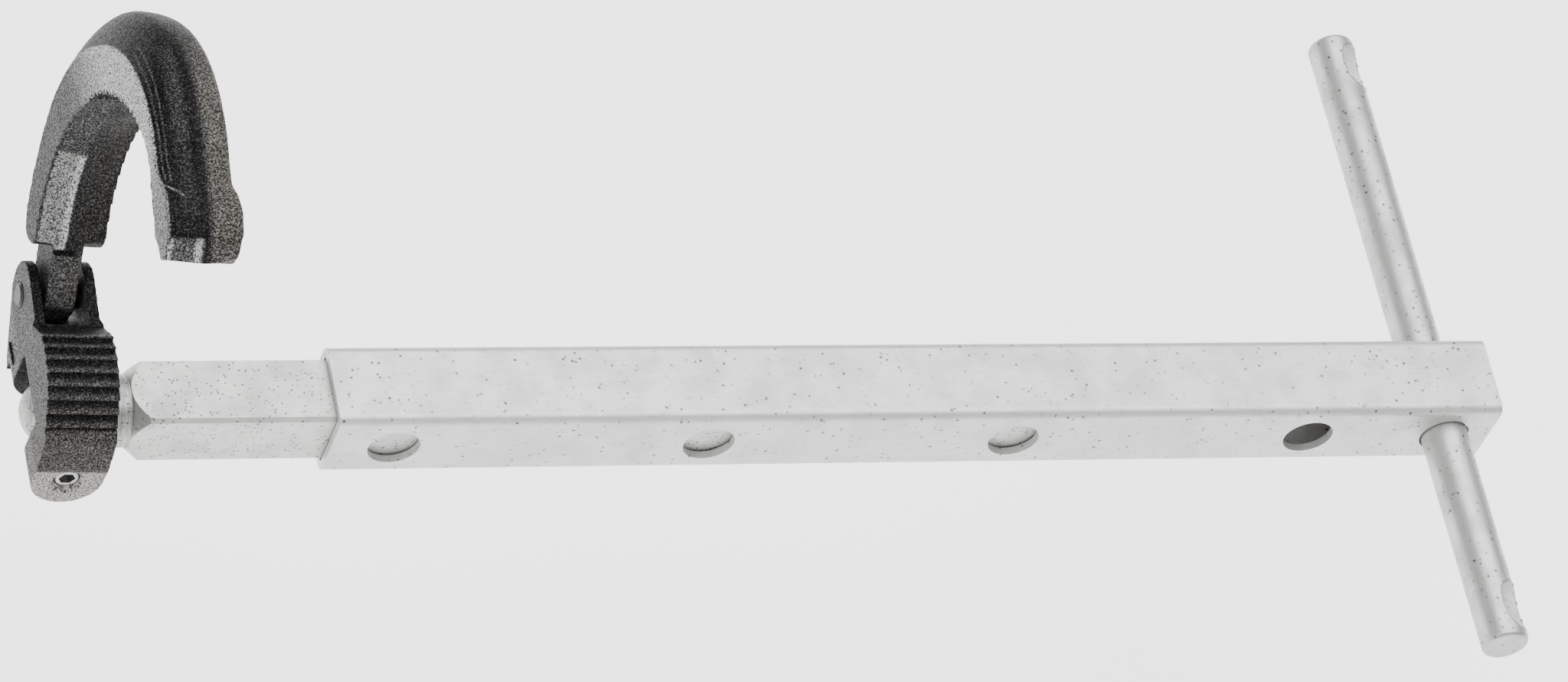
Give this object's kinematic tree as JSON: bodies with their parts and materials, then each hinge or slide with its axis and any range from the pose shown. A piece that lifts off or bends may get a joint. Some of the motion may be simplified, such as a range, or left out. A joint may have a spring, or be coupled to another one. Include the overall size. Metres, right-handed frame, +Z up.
{
  "type": "basin wrench",
  "caption": "Telescoping basin wrench: a T handle in a square tube, a sliding square bar, and a swivelling head with a ribbed jaw and a toothed hook jaw.",
  "frame": {"origin": "centre of the last locking hole, on the tube's axis", "axes": "+X along the tube from the jaws to the handle, +Y along the cross holes and the T handle, +Z up from the tube's lower face"},
  "size_m": [0.3057, 0.148, 0.0973],
  "materials": {
    "zinc_tube": "zinc plated steel, fine cloudy grain with small dark specks",
    "zinc_handle": "bright zinc plated round bar, smooth along its length",
    "zinc_bar": "zinc plated square bar, speckled flats and turned neck",
    "polished_ball": "polished steel ball",
    "spring_wire": "oiled spring wire",
    "black_forging": "black oxide forging with a fine sandy skin, bright where it is worn",
    "pin_steel": "ground steel pin",
    "black_screw": "black oxide socket screw with a bright rim",
    "rivet_steel": "peened rivet, blackened with the forging"
  },
  "bodies": {
    "tube": {"outer_tube": "zinc_tube"},
    "handle": {"cross_handle": "zinc_handle"},
    "bar": {"inner_bar": "zinc_bar", "detent_spring": "spring_wire"},
    "ball": {"detent_ball": "polished_ball"},
    "head": {"swivel_head": "black_forging", "swivel_pin": "pin_steel", "lock_screw": "black_screw", "jaw_pin": "rivet_steel", "jaw_spring": "spring_wire"},
    "hook": {"hook_jaw": "black_forging"}
  },
  "joints": [
    {"name": "handle_slide", "type": "slide", "parent": "tube", "child": "handle", "axis": [0, 1, 0], "range_m": [-0.064, 0.029]},
    {"name": "bar_slide", "type": "slide", "parent": "tube", "child": "bar", "axis": [-1, 0, 0], "range_m": [-0.036, 0.1624]},
    {"name": "ball_press", "type": "slide", "parent": "bar", "child": "ball", "axis": [0, 1, 0], "range_m": [0, 0.0003], "stiffness_N_per_m": 500, "springref_m": -0.002, "deforming": ["detent_spring"]},
    {"name": "head_swivel", "type": "hinge", "parent": "bar", "child": "head", "pos_m": [-0.2583, 0, 0], "axis": [0, 1, 0], "range_deg": [-185, 0]},
    {"name": "hook_pivot", "type": "hinge", "parent": "head", "child": "hook", "pos_m": [-0.2579, 0.0203, 0.00919], "axis": [0.9945, 0, -0.1045], "range_deg": [-45, 62]}
  ]
}
